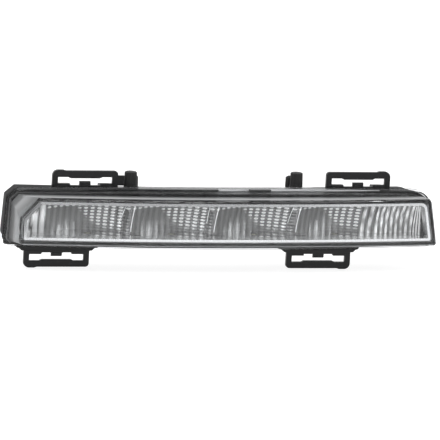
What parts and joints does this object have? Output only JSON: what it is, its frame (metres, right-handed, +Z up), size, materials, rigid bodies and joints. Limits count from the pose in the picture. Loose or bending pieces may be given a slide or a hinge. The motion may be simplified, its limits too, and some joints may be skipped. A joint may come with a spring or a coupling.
{
  "type": "daytime running light",
  "caption": "Bar-shaped bumper daytime running light: clear bowed lens over fluted reflector bowls, black housing, snap frames, breathers, rear heat sink and connector.",
  "frame": {"origin": "on the lamp's axis at the middle of its length, where the back of the lens flange meets the housing rim", "axes": "X along the lamp to the right as seen from the front, Y from the lens to the back, Z up"},
  "size_m": [0.3238, 0.0716, 0.0722],
  "materials": {
    "clear_cover": "clear polycarbonate, hard coated",
    "seal_rubber": "dull black sealing bead and gaskets",
    "black_housing": "fine grained black plastic",
    "bright_coating": "vacuum metallised bright coating",
    "plated_steel": "zinc plated steel",
    "white_board": "white solder resist",
    "light_source": "ceramic package with yellow phosphor",
    "pad_rubber": "grey thermal pad",
    "cast_aluminium": "bare die-cast aluminium",
    "green_board": "green solder resist",
    "coil_body": "dark ferrite",
    "can_aluminium": "smooth drawn can",
    "black_moulding": "smooth black plastic",
    "terminal_brass": "tinned brass",
    "snap_black": "satin black plastic",
    "breather_rubber": "soft black rubber"
  },
  "bodies": {
    "root": {"lens_cover": "clear_cover", "lens_seal": "seal_rubber", "housing": "black_housing", "bezel": "bright_coating", "reflector": "bright_coating", "reflector_screws": "plated_steel", "led_board": "white_board", "led_1": "light_source", "led_2": "light_source", "led_3": "light_source", "led_4": "light_source", "heat_pad": "pad_rubber", "heat_sink": "cast_aluminium", "heat_sink_gasket": "seal_rubber", "heat_sink_screws": "plated_steel", "driver_board": "green_board", "driver_screws": "plated_steel", "choke_coil": "coil_body", "capacitor_1": "can_aluminium", "capacitor_2": "can_aluminium", "driver_chip": "black_moulding", "board_header": "black_moulding", "connector_socket": "black_moulding", "connector_gasket": "seal_rubber", "terminals": "terminal_brass", "snap_frame_upper_left": "snap_black", "snap_frame_upper_right": "snap_black", "snap_frame_lower_left": "snap_black", "snap_frame_lower_right": "snap_black", "breather_left": "breather_rubber", "breather_right": "breather_rubber"}
  },
  "joints": []
}
